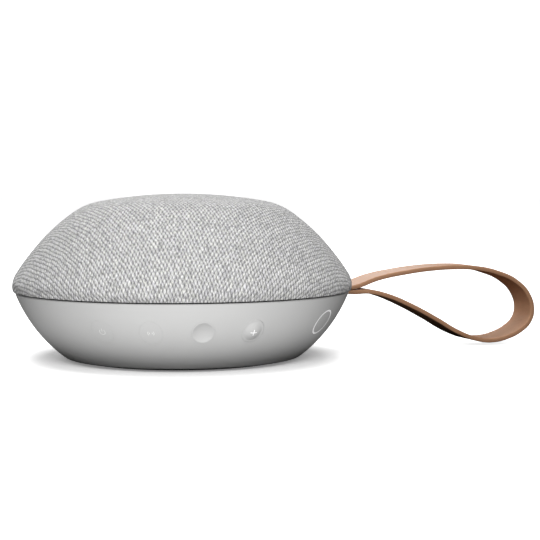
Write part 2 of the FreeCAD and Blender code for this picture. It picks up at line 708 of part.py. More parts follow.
def port_seal():
    """The foam collar that seals the recess to the shell's inside."""
    collar = port_block(2.0, PORT_FACE, 95).cut(port_block(0.0, PORT_FACE - 3, 96))
    return collar.common(shell_outline(SHELL_WALL + 0.05))


# ---------------------------------------------------------------- strap
def strap_loop():
    """The leather loop outside the seam. Its two strands meet in a round knuckle where the leather bends."""
    middle = Part.BSplineCurve()
    middle.interpolate([rz(*p) for p in STRAP_LINE])
    first, last = middle.FirstParameter, middle.LastParameter
    steps = [first + (last - first) * i / 60 for i in range(61)]
    sides = []
    for sign in (-0.5, 0.5):
        points = []
        for s in steps:
            along = middle.tangent(s)[0]
            points.append(middle.value(s) + V(along.z, 0, -along.x) * (sign * LOOP_THICK))
        side = Part.BSplineCurve()
        side.interpolate(points)
        sides.append(side.toShape())
    ends = [line(sides[0].Vertexes[i].Point, sides[1].Vertexes[i].Point) for i in (0, -1)]
    face = Part.Face(Part.Wire(Part.__sortEdges__(sides + ends)))
    body = face.extrude(V(0, STRAP_WIDTH, 0))
    knuckle = Part.makeCylinder(STRAP_KNUCKLE, STRAP_WIDTH, V(STRAP_HINGE, 0, STRAP_LEVEL), V(0, 1, 0))
    body = body.fuse(knuckle).removeSplitter()
    body.translate(V(0, -STRAP_WIDTH / 2, 0))
    return in_strap(body)


def strap_tail():
    """The strap's two ends, one on the other, through the seam and into the clamp."""
    body = Part.makeBox(STRAP_HINGE - STRAP_TAIL_IN, STRAP_WIDTH, 2 * STRAP_THICK,
                        V(STRAP_TAIL_IN, -STRAP_WIDTH / 2, STRAP_LEVEL - STRAP_THICK))
    socket = Part.makeCylinder(STRAP_KNUCKLE + 0.3, 30, V(STRAP_HINGE, -15, STRAP_LEVEL), V(0, 1, 0))
    body = body.cut(socket)
    for x, y in CLAMP_SCREWS:
        body = body.cut(rod(x, y, 1.3, 20, 40))
    return in_strap(body)


def strap_clamp():
    low = STRAP_LEVEL - STRAP_THICK
    body = Part.makeBox(12.0, 22.0, 2.5, V(67.0, -11.0, low - 2.5))
    for x, y in CLAMP_SCREWS:
        body = body.cut(rod(x, y, 1.3, 20, 40))
    return in_strap(body)


def strap_screws():
    one = screw(2.4, 1.6, 1.15, 8.3)
    low = STRAP_LEVEL - STRAP_THICK - 2.5
    return in_strap(Part.makeCompound([at(one, x, y, low) for x, y in CLAMP_SCREWS]))


# ---------------------------------------------------------------- leads
def driver_terminals():
    """The tag block riveted to one of the basket's ribs, where the leads are soldered."""
    z = DRIVER_SEAT
    cone = turned(polygon([(0, z - 19.2), (26.05, z - 19.2), (35.95, z - 2.0), (0, z - 2.0)]))
    return block(0, 32.0, z - 14.5, 10.0, 6.0, 5.0).cut(cone)


def driver_leads():
    """Two wires from the driver's terminals down to the main board."""
    high = DRIVER_SEAT - 12.0
    path = [(35.0, high), (41.0, high), (41.0, BOARD_TOP)]
    return Part.makeCompound([bent_wire([V(x, *p) for p in path], 0.6, 2.0) for x in (0.6, 3.2)])


def battery_leads():
    """Two wires from the battery over to its connector on the board."""
    path = [(7.3, 15.0), (7.3, 25.5), (31.0, 25.5), (31.0, BOARD_TOP + 3.0)]
    return Part.makeCompound([bent_wire([V(x, *p) for p in path], 0.6, 2.0) for x in (-25.2, -22.8)])


def microphones():
    """Two microphone modules on the cabinet's flat top, under the grille."""
    one = block(0, 0, CABINET_TOP, 4.0, 3.0, 1.2).cut(ring(0, 0.4, CABINET_TOP + 0.6, CABINET_TOP + 2))
    return Part.makeCompound([at(one, 0, y, 0) for y in (-43.6, 43.6)])


def main():
    envelope = shell_outline(0.0)
    made = {
        "base_shell": base_shell(envelope),
        "touch_ring": touch_ring(envelope),
        "touch_antenna": touch_antenna(),
        "foot_pad": foot_pad(),
        "bottom_screws": bottom_screws(),
        "seam_gasket": seam_gasket(),
        "chassis": chassis(),
        "cabinet_dome": cabinet_dome(),
        "cabinet_screws": cabinet_screws(),
        "grille_frame": grille_frame(),
        "grille_fabric": grille_fabric(),
        "driver_gasket": driver_gasket(),
        "driver_basket": driver_basket(),
        "driver_screws": driver_screws(),
        "driver_top_plate": driver_top_plate(),
        "driver_magnet": driver_magnet(),
        "driver_yoke": driver_yoke(),
        "driver_voice_coil": driver_voice_coil(),
        "driver_cone": driver_cone(),
        "driver_dust_cap": driver_dust_cap(),
        "driver_surround": driver_surround(),
        "driver_spider": driver_spider(),
        "switch_bodies": switch_bodies(),
        "switch_carrier": switch_carrier(),
        "switch_flex": switch_flex(),
        "battery_cells": battery_cells(),
        "battery_tray": battery_tray(),
        "main_board": main_board(),
        "board_screws": board_screws(),
        "board_components": board_components(),
        "radio_shield": radio_shield(),
        "usb_socket": usb_socket(),
        "audio_jack": audio_jack(),
        "port_panel": port_panel(envelope),
        "port_seal": port_seal(),
        "strap_loop": strap_loop(),
        "strap_tail": strap_tail(),
        "strap_clamp": strap_clamp(),
        "strap_screws": strap_screws(),
        "driver_terminals": driver_terminals(),
        "driver_leads": driver_leads(),
        "battery_leads": battery_leads(),
        "microphones": microphones(),
    }
    for side, azimuth in (("left", -90.0), ("right", 90.0)):
        made[f"{side}_radiator_frame"] = radiator_frame(azimuth)
        made[f"{side}_radiator_cone"] = radiator_cone(azimuth)
        made[f"{side}_radiator_surround"] = radiator_surround(azimuth)
    for name, azimuth in zip(BUTTON_NAMES, BUTTON_AZIMUTHS):
        made[f"{name}_button"] = button_cap(name, azimuth, envelope)
        made[f"{name}_plunger"] = switch_plunger(azimuth)
    os.makedirs("parts", exist_ok=True)
    for name, shape in made.items():
        shape.exportStep(f"parts/{name}.step")
        low, high = shape.BoundBox.ZMin, shape.BoundBox.ZMax
        print(f"{name:26s} solids {len(shape.Solids):3d}  valid {shape.isValid()}"
              f"  volume {shape.Volume:10.1f}  z {low:6.1f} to {high:6.1f}")


main()
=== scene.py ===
"""The looks of a portable smart speaker, made round its CAD model: woven cover, moulded shell, leather loop.

Metres, +Z up, in the CAD model's frame: the keys are centred on -Y and the foot pad stands on z = 0.
Azimuths are turned from -Y towards +X, in degrees.
"""

import json
import math
import random

import bpy
from mathutils import Matrix, Vector, noise

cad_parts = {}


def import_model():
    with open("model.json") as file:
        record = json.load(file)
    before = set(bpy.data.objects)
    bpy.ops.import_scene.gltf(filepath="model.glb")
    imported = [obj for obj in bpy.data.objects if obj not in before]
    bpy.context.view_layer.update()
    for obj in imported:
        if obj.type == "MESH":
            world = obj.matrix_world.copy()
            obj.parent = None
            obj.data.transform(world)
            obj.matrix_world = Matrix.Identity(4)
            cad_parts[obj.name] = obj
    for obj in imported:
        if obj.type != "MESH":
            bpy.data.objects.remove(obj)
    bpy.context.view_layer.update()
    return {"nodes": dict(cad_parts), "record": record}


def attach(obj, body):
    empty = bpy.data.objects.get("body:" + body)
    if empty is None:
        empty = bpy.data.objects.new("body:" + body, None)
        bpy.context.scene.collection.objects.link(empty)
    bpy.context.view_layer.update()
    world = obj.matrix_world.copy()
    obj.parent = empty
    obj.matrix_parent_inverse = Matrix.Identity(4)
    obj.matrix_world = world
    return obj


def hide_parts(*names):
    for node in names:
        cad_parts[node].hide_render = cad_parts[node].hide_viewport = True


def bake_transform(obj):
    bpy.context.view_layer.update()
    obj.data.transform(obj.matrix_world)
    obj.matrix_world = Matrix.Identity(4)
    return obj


MM = 0.001
# Slack for rounding when lengths along an outline are compared.
ROUNDING = 1e-9

# ---------------------------------------------------------------- sizes, as in the CAD model
HEIGHT = 85.0 * MM
# The dome's outline as tangent arcs: (radius, slope where the arc ends, in degrees from level).
DOME = ((240.0 * MM, 10.3), (34.0 * MM, 36.0), (110.0 * MM, 58.3), (11.5 * MM, 101.3))
# The shell's flank is one arc: its centre's distance from the axis and height, and its radius.
SHELL_CENTRE = (16.1 * MM, 61.5 * MM)
SHELL_RADIUS = 75.0 * MM
# Where the cloth is turned in under the dome.
SEAM = 35.7 * MM
CONTROL_HEIGHT = 20.7 * MM
KEY_AZIMUTHS = {"power": -26.7, "pairing": -8.9, "volume_down": 8.9, "volume_up": 26.7}
KEY_RADIUS = 5.6 * MM
# The raised key's crown: how far across its round part is, and how high.
CROWN_RADIUS = 4.6 * MM
CROWN_RELIEF = 1.1 * MM
KEY_SKIRT = 1.6 * MM
# The keys are this much longer up the slope than across, so that they look round from in front.
KEY_STRETCH = 1.2
# The touch ring's painted glow: emission on a print that is no lamp.
RING_PAINTED_GLOW = 0.25
STRAP_AZIMUTH = 108.0
STRAP_WIDTH = 20.0 * MM
# The strip is full thickness in the loop and pared thinner towards its ends, which lie in the seam.
STRAP_THICK = 2.3 * MM
STRAP_END_THICK = 1.8 * MM
STRAP_PARED = (86.0 * MM, 94.0 * MM)
STRAP_ROUNDING = 0.45 * MM
STRAP_STEP = 1.2 * MM
# The strip's edges waver: (how far apart the waves are, how far out they go).
STRAP_WAVES = (30.0 * MM, 0.12 * MM)
# Its three materials, in order, and how far the underside lies beside the top in the flat map of the hide.
GRAIN_SIDE, FLESH_SIDE, CUT_EDGE = range(3)
UNDERSIDE_SHIFT = 50.0 * MM
# The strap's middle line in millimetres: (distance from the speaker's axis, height).
STRAP_LINE = (
    (67.0, 34.1), (76.0, 34.1), (84.0, 34.1), (92.0, 34.6), (106.8, 39.1), (122.2, 41.8), (137.7, 43.5),
    (152.1, 44.0), (165.4, 43.3), (177.9, 40.6), (190.0, 35.3), (197.9, 27.3), (200.2, 18.5), (198.0, 12.3),
    (193.1, 8.1), (186.2, 4.9), (176.0, 2.9), (166.3, 3.9), (154.6, 8.2), (140.6, 16.1), (126.4, 23.5),
    (112.3, 29.4), (101.2, 32.0), (92.0, 31.9), (84.0, 32.3), (76.0, 32.3), (67.0, 32.3),
)

# ---------------------------------------------------------------- camera
# Yaw, pitch and roll turn the camera, in degrees, to its right, down and clockwise from facing the axis.
CAMERA_DISTANCE = 755.5 * MM
CAMERA_HEIGHT = 93.8 * MM
CAMERA_AZIMUTH = 2.1
CAMERA_YAW = 3.43
CAMERA_PITCH = 3.68
CAMERA_ROLL = 0.05
CAMERA_LENS = 97.0
SENSOR_WIDTH = 36.0

# ---------------------------------------------------------------- stage
AXIS = (0.0, 0.0, 0.0)
TABLE_LEVEL = -0.0002
TABLE_HALF = 6.0
# The table glows with the first strength near the speaker's axis and with the second further out; the weaker
# glow near the foot is painted shade.
TABLE_GLOW = (0.22, 0.82)
# The first holds as far as the first of these distances, and the second from the other one on.
FOOT_PAINTED_SHADE_EDGE = (0.072, 0.096)
# The light the table throws back up at the speaker. The speaker's foot shades it as far as the first of these
# distances from the axis, and it is full from the other one on.
TABLE_BOUNCE = 1.0
SHADE_EDGE = (0.070, 0.094)
# It comes from in front of the speaker: (how far in front of the axis, full as far as, gone beyond).
BOUNCE_FRONT = (0.15, 0.05, 0.25)
# The strap shades it too: (distance of that spot's middle from the axis, dark as far as, full beyond).
STRAP_SHADE = (0.145, 0.045, 0.085)
# The surround's strength as light, and as the camera sees it.
WORLD_LIGHT = (0.20, 1.2)
LAMP_TARGET = (0.0, 0.0, 0.04)
# Each lamp: name, place, size and watts.
LAMPS = (
    ("front", (0.03, -0.95, 0.48), (0.6, 0.4), 8.5),
    ("top", (-0.05, 0.0, 1.2), (0.8, 0.8), 8.0),
    ("back", (-0.20, 1.20, 0.50), (1.0, 0.6), 5.0),
)

# ---------------------------------------------------------------- cloth
YARN_PITCH = 1.75 * MM
# Both sets of yarns cross the cloth at this angle, one leaning each way.
YARN_LEAN = 27.0
# The weft's height where it is on top, as a share of the warp's.
WEFT_TOP = 0.92
# The yarns wander, slowly and quickly: (size of the noise's patches, its detail, how far it moves them).
YARN_STRAY = ((20 * MM, 2.0, 2.4 * MM), (2.2 * MM, 1.0, 1.1 * MM))
# How much the tone changes with a yarn's dye, its spun fibres and the cloth's patches, and where it starts.
DYE_SHARE = 0.40
FIBRE_SHARE = 1.3
PATCH_SHARE = 0.20
TONE_START = -0.37
# The cloth's greys as (tone, colour), the two casts its yarns have, and the painted shade between them.
CLOTH_GREYS = ((0.26, (0.30, 0.30, 0.305)), (0.58, (0.61, 0.61, 0.61)), (0.88, (0.85, 0.85, 0.845)))
COOL_CAST = (0.97, 0.96, 1.0, 1)
WARM_CAST = (1.0, 1.0, 0.955, 1)
# Painted shade in the gaps and dips between the yarns.
GAP_PAINTED_SHADE = (0.10, 0.10, 0.102, 1)
# The cloth is drawn out towards the seam, so that its flat map is shorter than the dome by this share.
CLOTH_STRETCH = 0.06
COVER_RINGS = 110
COVER_SEGMENTS = 420
# The cloth's soft waves: (how far apart, how high). They and the tucks die out this close above the seam.
CLOTH_WAVES = (16 * MM, 0.12 * MM)
CLOTH_HELD = 1.2 * MM
# The hem turned in under the dome, as (how far down, how far in) from the seam, in millimetres.
COVER_HEM = ((0.0, 0.6), (0.05, 2.0), (0.05, 3.8))
# Tucks where the cloth is pulled in above the seam: (azimuth and height of the middle, half length, depth).
# Azimuth and half length are in degrees, height and depth in millimetres.
FRONT_TUCKS = (
    (-15.0, 38.6, 7.0, 1.0), (-5.0, 38.2, 9.0, 1.3), (2.0, 40.4, 7.5, 0.9), (13.0, 38.4, 6.0, 1.0),
    (22.0, 39.0, 7.0, 0.7), (-27.0, 39.0, 6.0, 0.7),
)
TUCK_WIDTH = 1.5 * MM
# How far a tuck droops half its length from its middle, how fast it fades there, and where it stops.
TUCK_DROOP = 1.3 * MM
TUCK_FADE = 1.4
TUCK_REACH = 2.2
# The furrow below a tuck's ridge: (how many widths below, how deep for the ridge's height).
TUCK_FURROW = (1.6, 0.8)

# ---------------------------------------------------------------- raised key and marks
KEY_RINGS = 26
KEY_SEGMENTS = 72
MARK_LIFT = 0.03 * MM
ARC_STEPS = 24
LINE_STEPS = 8


def level(azimuth):
    """The level way out from the axis at that azimuth."""
    a = math.radians(azimuth)
    return Vector((math.sin(a), -math.cos(a), 0))


def across(azimuth):
    """The level way to the right of someone who faces the speaker at that azimuth."""
    a = math.radians(azimuth)
    return Vector((math.cos(a), math.sin(a), 0))


def part_way(value, first, last):
    """0 up to first, 1 from last on, and even between them."""
    return min(1.0, max(0.0, (value - first) / (last - first)))


# ---------------------------------------------------------------- shader helpers
def put(tree, kind, inputs=(), **settings):
    """A new node. Its inputs, by name or number, are set to values or joined to other nodes' sockets."""
    node = tree.nodes.new(kind)
    for key, value in settings.items():
        setattr(node, key, value)
    for key, value in dict(inputs).items():
        if isinstance(value, bpy.types.NodeSocket):
            tree.links.new(value, node.inputs[key])
        else:
            node.inputs[key].default_value = value
    return node


def calc(tree, operation, *values):
    return put(tree, "ShaderNodeMath", dict(enumerate(values)), operation=operation).outputs[0]


def calc_vector(tree, operation, *values):
    """A sum on vectors, of which a distance or a dot product is a plain number."""
    node = put(tree, "ShaderNodeVectorMath", dict(enumerate(values)), operation=operation)
    return node.outputs["Value" if operation in ("DISTANCE", "DOT_PRODUCT") else "Vector"]


def blend_of(tree, share, low, high):
    """low where share is 0 and high where it is 1."""
    return calc(tree, "MULTIPLY_ADD", calc(tree, "SUBTRACT", high, low), share, low)


def ramp(tree, value, stops):
    """A colour ramp with (place, colour) stops."""
    node = put(tree, "ShaderNodeValToRGB", {0: value})
    elements = node.color_ramp.elements
    while len(elements) < len(stops):
        elements.new(0.5)
    for element, (place, colour) in zip(elements, stops):
        element.position = place
        element.color = (*colour, 1)
    return node.outputs[0]


def mix(tree, share, first, second, kind="MIX"):
    """Two colours put together."""
    colours = {0: share, 6: first, 7: second}
    return put(tree, "ShaderNodeMix", colours, data_type="RGBA", blend_type=kind).outputs[2]


def cloud(tree, place, size, detail=3.0, rough=0.5, output=0):
    """Noise from 0 to 1 with patches of about that size, in metres. Output 1 is a vector of such noise."""
    inputs = {"Vector": place, "Scale": 1 / size, "Detail": detail, "Roughness": rough}
    return put(tree, "ShaderNodeTexNoise", inputs).outputs[output]


def stray(tree, place, size, detail, reach):
    """How far and which way noise moves each place: at most half that reach."""
    off = calc_vector(tree, "SUBTRACT", cloud(tree, place, size, detail, output=1), (0.5, 0.5, 0.5))
    return calc_vector(tree, "MULTIPLY", off, (reach, reach, reach))


def in_place(tree):
    return put(tree, "ShaderNodeTexCoord").outputs["Object"]


def on_map(tree, name):
    return put(tree, "ShaderNodeUVMap", uv_map=name).outputs[0]


def fade(tree, spot, near, far):
    """0 as far as near from that spot, 1 from far on, and even between them."""
    away = calc_vector(tree, "DISTANCE", in_place(tree), spot)
    return put(tree, "ShaderNodeMapRange", {0: away, 1: near, 2: far}).outputs[0]


def start(name):
    material = bpy.data.materials.new(name)
    material.use_nodes = True
    return material, material.node_tree, material.node_tree.nodes["Principled BSDF"]


def bump(tree, shader, height, distance):
    node = put(tree, "ShaderNodeBump", {"Height": height, "Distance": distance, "Strength": 1.0})
    tree.links.new(node.outputs[0], shader.inputs["Normal"])


def shades(colour, spread):
    """The colour made darker and lighter by that share."""
    return [tuple(min(1.0, c * k) for c in colour) for k in (1 - spread, 1 + spread)]


def surface(name, colour, rough, metallic=0.0, grain=0.25 * MM, relief=0.01 * MM, spread=0.05, coat=0.0):
    """A moulded, painted or rolled surface: fine grain, faint blotches of colour and uneven gloss."""
    material, tree, shader = start(name)
    place = in_place(tree)
    fine = cloud(tree, place, grain, 4.0, 0.6)
    blotch = cloud(tree, place, 18 * MM, 3.0)
    dark, light = shades(colour, spread)
    mixed = calc(tree, "MULTIPLY_ADD", fine, 0.35, calc(tree, "MULTIPLY", blotch, 0.65))
    tree.links.new(ramp(tree, mixed, ((0.3, dark), (0.7, light))), shader.inputs["Base Color"])
    gloss = blend_of(tree, blotch, rough * 0.88, min(1.0, rough * 1.12))
    tree.links.new(gloss, shader.inputs["Roughness"])
    shader.inputs["Metallic"].default_value = metallic
    shader.inputs["Coat Weight"].default_value = coat
    bump(tree, shader, fine, relief)
    return material


# ---------------------------------------------------------------- special materials
def yarn_counts(tree, flat):
    """For each set of yarns, how many lie between the cloth's middle and a place in its flat map."""
    moved = flat
    for size, detail, reach in YARN_STRAY:
        moved = calc_vector(tree, "ADD", moved, stray(tree, flat, size, detail, reach))
    lean = math.radians(YARN_LEAN)
    ways = [(math.cos(lean) / YARN_PITCH, sign * math.sin(lean) / YARN_PITCH, 0) for sign in (1, -1)]
    return [calc_vector(tree, "DOT_PRODUCT", moved, way) for way in ways]


def yarn_height(tree, cross, along, top):
    """A round yarn that dives under its neighbours: cross and along are 0 at its edges and its dips."""
    crown = calc(tree, "MULTIPLY_ADD", calc(tree, "POWER", along, 0.7), 0.55, 0.45)
    return calc(tree, "MULTIPLY", calc(tree, "MULTIPLY", calc(tree, "POWER", cross, 0.6), crown), top)


def heathered_colour(tree, flat, counts, fibre):
    """Light and dark fibres are spun together, so the tone changes along a yarn every half crossing."""
    halves = [calc(tree, "FLOOR", calc(tree, "MULTIPLY", count, 2.0)) for count in counts]
    crossing = put(tree, "ShaderNodeCombineXYZ", dict(enumerate(halves))).outputs[0]
    dyed = put(tree, "ShaderNodeTexWhiteNoise", {"Vector": crossing}, noise_dimensions="2D").outputs[1]
    tint = put(tree, "ShaderNodeSeparateColor", {0: dyed})
    patch = cloud(tree, flat, 5 * MM, 3.0, 0.6)
    spun = calc(tree, "MULTIPLY_ADD", fibre, FIBRE_SHARE, TONE_START)
    yarn = calc(tree, "MULTIPLY_ADD", tint.outputs[0], DYE_SHARE, spun)
    grey = ramp(tree, calc(tree, "MULTIPLY_ADD", patch, PATCH_SHARE, yarn), CLOTH_GREYS)
    cast = mix(tree, tint.outputs[1], COOL_CAST, WARM_CAST)
    return mix(tree, 1.0, grey, cast, "MULTIPLY")


def woven_cover():
    """Heathered plain weave whose two sets of yarns cross on the slant, in the flat map of the cloth, with
    painted shade between the yarns.
    """
    material, tree, shader = start("woven_cover")
    flat = on_map(tree, "weave")
    counts = yarn_counts(tree, flat)
    waves = [calc(tree, "SINE", calc(tree, "MULTIPLY", count, math.pi)) for count in counts]
    side_x, side_y = [calc(tree, "ABSOLUTE", wave) for wave in waves]
    warp_on_top = calc(tree, "GREATER_THAN", calc(tree, "MULTIPLY", *waves), 0.0)
    weft = yarn_height(tree, side_y, side_x, WEFT_TOP)
    warp = yarn_height(tree, side_x, side_y, 1.0)
    height = blend_of(tree, warp_on_top, weft, warp)

    fibre = cloud(tree, flat, 0.80 * MM, 3.0, 0.8)
    colour = heathered_colour(tree, flat, counts, fibre)
    # Painted shade: the colour darkens in the gaps between yarns and where they dive under, more along one
    # set of yarns than the other.
    rows = calc(tree, "MULTIPLY_ADD", side_x, 0.55, calc(tree, "MULTIPLY", side_y, 0.35))
    raised = calc(tree, "MULTIPLY_ADD", height, 0.65, calc(tree, "MULTIPLY", rows, 0.75))
    painted_lit_share = calc(tree, "POWER", calc(tree, "MINIMUM", raised, 1.0), 1.1)
    tree.links.new(mix(tree, painted_lit_share, GAP_PAINTED_SHADE, colour), shader.inputs["Base Color"])
    shader.inputs["Roughness"].default_value = 0.95
    shader.inputs["Sheen Weight"].default_value = 0.15
    shader.inputs["Sheen Roughness"].default_value = 0.5
    bump(tree, shader, calc(tree, "MULTIPLY_ADD", fibre, 0.2, height), 0.40 * MM)
    return material


def shell_plastic(name):
    """Light grey, softly matt moulded skin."""
    return surface(name, (0.60, 0.60, 0.595), 0.50, grain=0.35 * MM, relief=0.012 * MM, spread=0.02)


def ring_with_painted_glow():
    """The touch ring's print, which glows faintly: painted light, not a lamp."""
    material = surface("ring_with_painted_glow", (0.95, 0.95, 0.95), 0.35, spread=0.01)
    shader = material.node_tree.nodes["Principled BSDF"]
    shader.inputs["Emission Color"].default_value = (1, 1, 1, 1)
    shader.inputs["Emission Strength"].default_value = RING_PAINTED_GLOW
    return material


def leather(name, colour, grain, relief, rough, spread, streak):
    """Vegetable-tanned leather: pores, fibres drawn out along the strap and a low gloss."""
    material, tree, shader = start(name)
    flat = on_map(tree, "hide")
    drawn = put(tree, "ShaderNodeMapping", {"Vector": flat, "Scale": (1 / streak, 1, 1)}).outputs[0]
    fibres = cloud(tree, drawn, 0.5 * MM, 4.0, 0.6)
    blotch = cloud(tree, flat, 9 * MM, 3.0)
    pores = put(tree, "ShaderNodeTexVoronoi", {"Vector": flat, "Scale": 1 / grain}).outputs[0]
    dark, light = shades(colour, spread)
    tint = calc(tree, "MULTIPLY_ADD", fibres, 0.5, calc(tree, "MULTIPLY", blotch, 0.5))
    tree.links.new(ramp(tree, tint, ((0.3, dark), (0.7, light))), shader.inputs["Base Color"])
    tree.links.new(blend_of(tree, blotch, rough * 0.85, rough * 1.1), shader.inputs["Roughness"])
    shader.inputs["Specular IOR Level"].default_value = 0.35
    bump(tree, shader, calc(tree, "MULTIPLY_ADD", pores, 0.6, calc(tree, "MULTIPLY", fibres, 0.4)), relief)
    return material


def circuit_board():
    """Green solder mask with copper tracks faintly raised under it."""
    material, tree, shader = start("board_green")
    pattern = {
        "Vector": in_place(tree),
        "Scale": 260.0,
        "Mortar Size": 0.12,
        "Color1": (0.02, 0.16, 0.07, 1),
        "Color2": (0.03, 0.20, 0.09, 1),
        "Mortar": (0.06, 0.32, 0.16, 1),
    }
    tracks = put(tree, "ShaderNodeTexBrick", pattern)
    tree.links.new(tracks.outputs[0], shader.inputs["Base Color"])
    shader.inputs["Roughness"].default_value = 0.35
    shader.inputs["Coat Weight"].default_value = 0.4
    bump(tree, shader, tracks.outputs[1], 0.03 * MM)
    return material


def wound_wire():
    """Close turns of enamelled copper, darker in the grooves between turns as painted shade."""
    material, tree, shader = start("copper_wire")
    pattern = {"Vector": in_place(tree), "Scale": 900.0, "Distortion": 0.3}
    turns = put(tree, "ShaderNodeTexWave", pattern, bands_direction="Z").outputs[1]
    # Painted shade: the copper is dark where the bands dip between turns.
    copper = ramp(tree, turns, ((0.1, (0.22, 0.08, 0.03)), (0.7, (0.80, 0.38, 0.18))))
    tree.links.new(copper, shader.inputs["Base Color"])
    shader.inputs["Metallic"].default_value = 0.9
    shader.inputs["Roughness"].default_value = 0.32
    bump(tree, shader, turns, 0.08 * MM)
    return material


def pressed_cloth():
    """The centring disc's open cotton, stiff with resin."""
    material, tree, shader = start("spider_cloth")
    pattern = {"Vector": in_place(tree), "Scale": 420.0}
    threads = [put(tree, "ShaderNodeTexWave", pattern, bands_direction=way).outputs[1] for way in "XY"]
    weave = calc(tree, "MAXIMUM", *threads)
    amber = ramp(tree, weave, ((0.2, (0.30, 0.20, 0.07)), (0.8, (0.80, 0.64, 0.34))))
    tree.links.new(amber, shader.inputs["Base Color"])
    shader.inputs["Roughness"].default_value = 0.8
    bump(tree, shader, weave, 0.1 * MM)
    return material


def all_materials():
    """Every material slot of the record, by name, in place of the plain ones that came with the model."""
    for plain in list(bpy.data.materials):
        bpy.data.materials.remove(plain)
    made = [
        woven_cover(),
        circuit_board(),
        wound_wire(),
        pressed_cloth(),
        ring_with_painted_glow(),
        shell_plastic("shell"),
        shell_plastic("key"),
        leather("strap_leather", (0.49, 0.265, 0.15), 0.9 * MM, 0.05 * MM, 0.5, 0.10, 3.0),
        surface("pad_rubber", (0.055, 0.055, 0.058), 0.85, grain=0.5 * MM, relief=0.05 * MM, spread=0.2),
        surface("gasket_rubber", (0.012, 0.012, 0.012), 0.8, spread=0.2),
        surface("surround_rubber", (0.02, 0.02, 0.02), 0.55, spread=0.2),
        surface("foam", (0.03, 0.03, 0.03), 0.95, grain=0.6 * MM, relief=0.15 * MM, spread=0.3),
        surface("white_print", (0.86, 0.86, 0.85), 0.35, spread=0.02),
        surface("inner_plastic", (0.035, 0.035, 0.038), 0.55, grain=0.4 * MM, relief=0.02 * MM, spread=0.15),
        surface("grille_plastic", (0.10, 0.10, 0.10), 0.6, spread=0.1),
        surface("port_plastic", (0.05, 0.05, 0.052), 0.6, grain=0.4 * MM, relief=0.02 * MM, spread=0.12),
        surface("plunger_plastic", (0.55, 0.04, 0.03), 0.4, spread=0.08),
        surface("steel", (0.50, 0.50, 0.51), 0.32, metallic=1.0, spread=0.1),
        surface("plated_steel", (0.62, 0.61, 0.59), 0.25, metallic=1.0, grain=0.5 * MM, spread=0.08),
        surface("basket_metal", (0.03, 0.03, 0.03), 0.5, metallic=0.2, grain=0.5 * MM, relief=0.03 * MM,
                spread=0.2),
        surface("magnet", (0.06, 0.06, 0.065), 0.6, metallic=0.3, grain=0.8 * MM, relief=0.04 * MM,
                spread=0.25),
        surface("cone_paper", (0.04, 0.04, 0.04), 0.9, grain=0.9 * MM, relief=0.08 * MM, spread=0.3),
        surface("polyimide", (0.55, 0.26, 0.05), 0.3, spread=0.1, coat=0.5),
        surface("cell_wrap", (0.03, 0.13, 0.42), 0.3, spread=0.08, coat=0.4),
        surface("chip_black", (0.02, 0.02, 0.022), 0.5, spread=0.2),
        surface("lead_red", (0.42, 0.02, 0.015), 0.45, spread=0.1),
    ]
    return {material.name: material for material in made}


# ---------------------------------------------------------------- mesh helpers
def mesh_piece(name, vertices, faces, flat=None, map_name="map"):
    """A smooth mesh object, with a flat map if each vertex has a place in one."""
    mesh = bpy.data.meshes.new(name)
    mesh.from_pydata([tuple(v) for v in vertices], [], faces)
    mesh.shade_smooth()
    if flat:
        layer = mesh.uv_layers.new(name=map_name)
        for loop in mesh.loops:
            layer.data[loop.index].uv = flat[loop.vertex_index]
    piece = bpy.data.objects.new(name, mesh)
    bpy.context.scene.collection.objects.link(piece)
    return piece


def disc_faces(rings, count):
    """Faces of a round sheet: a middle vertex, then rings of that many vertices each."""
    faces = [(0, 1 + i, 1 + (i + 1) % count) for i in range(count)]
    for k in range(rings - 1):
        low = 1 + k * count
        for i in range(count):
            j = (i + 1) % count
            faces.append((low + i, low + count + i, low + count + j, low + j))
    return faces


# ---------------------------------------------------------------- cover
def dome_outline(steps):
    """Points (radius, height, length along the cloth) of the dome, evenly spaced from middle to seam."""
    starts = [0.0] + [end for _, end in DOME[:-1]]
    total = sum(radius * math.radians(end - first) for (radius, end), first in zip(DOME, starts))
    targets = [total * i / steps for i in range(steps + 1)]
    centre = (0.0, HEIGHT - DOME[0][0])
    travelled = 0.0
    found = []
    for i, ((radius, end), first) in enumerate(zip(DOME, starts)):
        reach = radius * math.radians(end - first)
        while targets and targets[0] <= travelled + reach + ROUNDING:
            a = math.radians(first) + (targets[0] - travelled) / radius
            found.append((centre[0] + radius * math.sin(a), centre[1] + radius * math.cos(a), targets.pop(0)))
        travelled += reach
        if i + 1 < len(DOME):
            a = math.radians(end)
            step = radius - DOME[i + 1][0]
            centre = (centre[0] + step * math.sin(a), centre[1] + step * math.cos(a))
    return found


def all_tucks():
    """The tucks seen in front, and more like them round the rest of the seam."""
    pick = random.Random(4)
    tucks = list(FRONT_TUCKS)
    for azimuth in range(40, 325, 13):
        middle = azimuth + pick.uniform(-4, 4)
        height = pick.uniform(38.4, 40.5)
        half = pick.uniform(5, 9)
        depth = pick.uniform(0.2, 0.5)
        tucks.append((middle, height, half, depth))
    return tucks


def tuck_depth(azimuth, z, tucks):
    """How far the cloth stands out, or in where it is negative, at that place."""
    out = 0.0
    for middle, height, half, depth in tucks:
        off = ((azimuth - middle + 180) % 360 - 180) / half
        if abs(off) < TUCK_REACH:
            step = (z - height * MM + TUCK_DROOP * off**2) / TUCK_WIDTH
            ridge = math.exp(-(step**2))
            furrow = TUCK_FURROW[1] * math.exp(-((step + TUCK_FURROW[0]) ** 2))
            out += depth * MM * math.exp(-(off**2) * TUCK_FADE) * (ridge - furrow)
    return out


